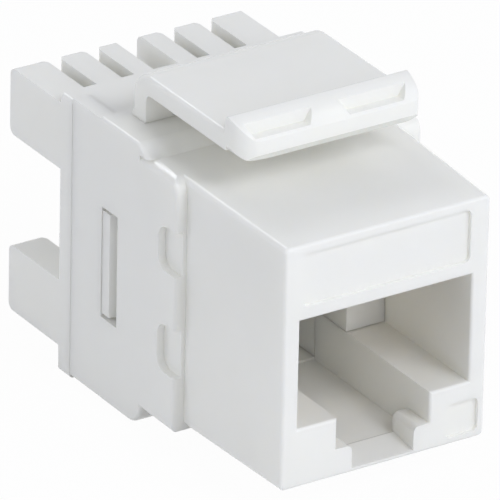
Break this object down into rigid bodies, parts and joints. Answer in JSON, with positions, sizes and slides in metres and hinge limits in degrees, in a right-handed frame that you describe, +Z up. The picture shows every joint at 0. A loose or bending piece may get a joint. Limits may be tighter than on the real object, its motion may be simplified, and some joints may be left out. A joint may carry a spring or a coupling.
{
  "type": "keystone jack",
  "caption": "White snap-in modular jack for a wall plate: plug port in front, spring latch on top, snap hooks at the sides and rows of slotted wire-termination fingers behind.",
  "frame": {"origin": "centre of the nose's front face, which is also the middle of the plate opening it fills", "axes": "+X to the right as the face is seen, +Y back through the jack towards the wire fingers, +Z up towards the spring latch"},
  "size_m": [0.0175, 0.0295, 0.0234],
  "materials": {
    "white_plastic": "smooth moulded plastic with a satin gloss",
    "gold_wire": "gold-plated spring wire",
    "tinned_blade": "tinned sheet",
    "green_board": "coated circuit board"
  },
  "bodies": {
    "jack": {"housing": "white_plastic", "idc_block": "white_plastic", "contact_carrier": "white_plastic", "circuit_board": "green_board", "contact_1": "gold_wire", "contact_2": "gold_wire", "contact_3": "gold_wire", "contact_4": "gold_wire", "contact_5": "gold_wire", "contact_6": "gold_wire", "contact_7": "gold_wire", "contact_8": "gold_wire", "idc_blade_1": "tinned_blade", "idc_blade_2": "tinned_blade", "idc_blade_3": "tinned_blade", "idc_blade_4": "tinned_blade", "idc_blade_5": "tinned_blade", "idc_blade_6": "tinned_blade", "idc_blade_7": "tinned_blade", "idc_blade_8": "tinned_blade"},
    "latch": {"latch": "white_plastic"}
  },
  "joints": [
    {"name": "latch_flex", "type": "hinge", "parent": "jack", "child": "latch", "pos_m": [0, 0.01775, 0.009], "axis": [1, 0, 0], "range_deg": [0, 9], "stiffness_Nm_per_rad": 0.7}
  ]
}
